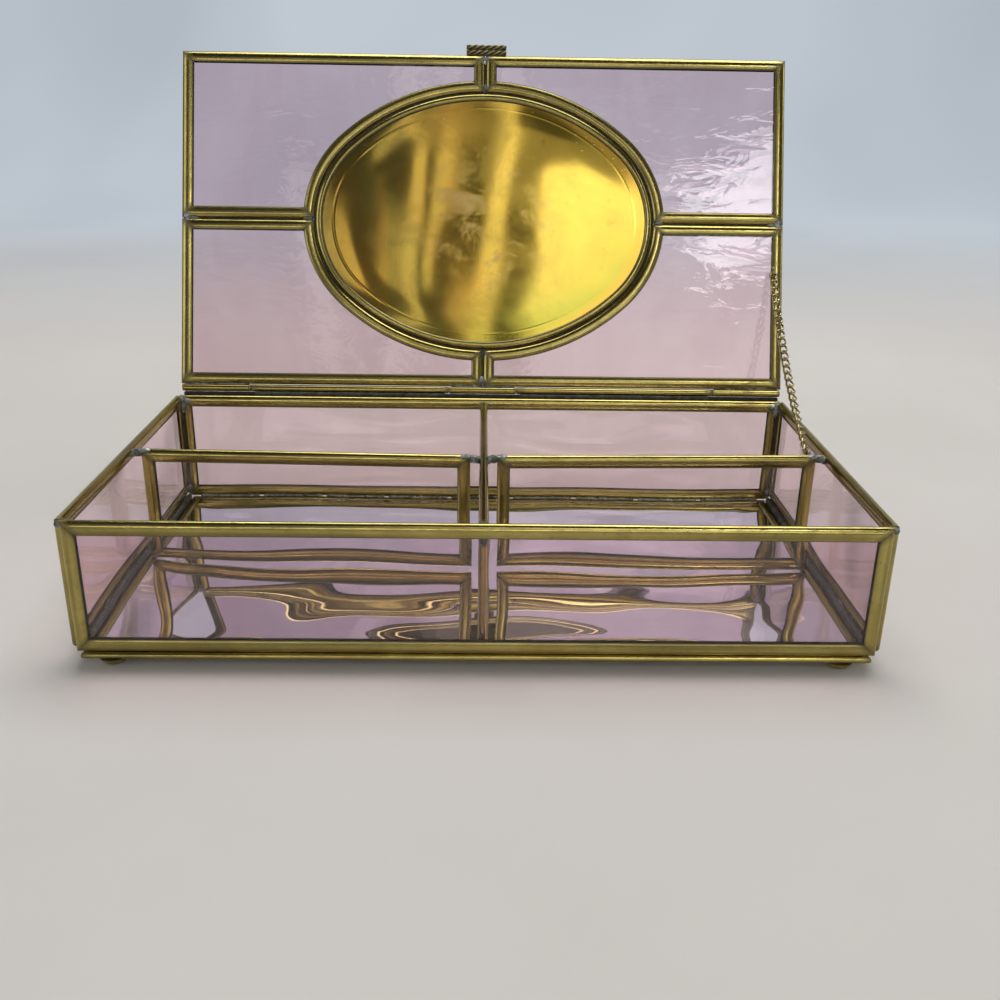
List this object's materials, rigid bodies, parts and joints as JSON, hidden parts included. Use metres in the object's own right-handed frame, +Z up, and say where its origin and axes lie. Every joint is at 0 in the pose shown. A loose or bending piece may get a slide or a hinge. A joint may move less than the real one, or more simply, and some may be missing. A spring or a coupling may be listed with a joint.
{
  "type": "glass casket box",
  "caption": "Low box of pink glass panes framed in brass channel, with a mirror floor, divided compartments and a hinged lid around an oval brass plate",
  "frame": {"origin": "centre of the bounding box in plan, at the level the feet stand on, with the lid open against its chain", "axes": "+Z up, +X to the right along the hinge, +Y to the back where the hinge is"},
  "size_m": [0.2, 0.1499, 0.1469],
  "materials": {
    "brass": "drawn brass channel, lightly tarnished",
    "gold_sheet": "polished brass sheet",
    "pink_glass": "pale pink rippled cathedral glass",
    "mirror": "rippled mirror glass",
    "solder": "dull tin solder"
  },
  "bodies": {
    "box": {"base_frame": "brass", "base_mirror": "mirror", "feet": "brass", "front_frame": "brass", "front_pane": "pink_glass", "back_frame": "brass", "back_pane": "pink_glass", "left_frame": "brass", "left_pane": "pink_glass", "right_frame": "brass", "right_pane": "pink_glass", "centre_divider_frame": "brass", "centre_divider_pane": "pink_glass", "left_divider_frame": "brass", "left_divider_pane": "pink_glass", "right_divider_frame": "brass", "right_divider_pane": "pink_glass", "corner_solder": "solder", "base_solder": "solder", "divider_solder": "solder", "box_knuckles": "brass", "hinge_pin": "brass", "box_hinge_solder": "solder", "box_chain_ring": "brass", "stay_chain": "brass"},
    "lid": {"lid_front_left_frame": "brass", "lid_front_left_pane": "pink_glass", "lid_front_right_frame": "brass", "lid_front_right_pane": "pink_glass", "lid_back_left_frame": "brass", "lid_back_left_pane": "pink_glass", "lid_back_right_frame": "brass", "lid_back_right_pane": "pink_glass", "oval_rim": "brass", "oval_plate": "gold_sheet", "lid_solder": "solder", "lid_knuckles": "brass", "lid_hinge_solder": "solder", "lid_chain_ring": "brass", "thumb_rope": "brass"}
  },
  "joints": [
    {"name": "lid_hinge", "type": "hinge", "parent": "box", "child": "lid", "pos_m": [0.0004, 0.03464, 0.04125], "axis": [1, 0, 0], "range_deg": [0, 110.6], "deforming": ["stay_chain"]}
  ]
}
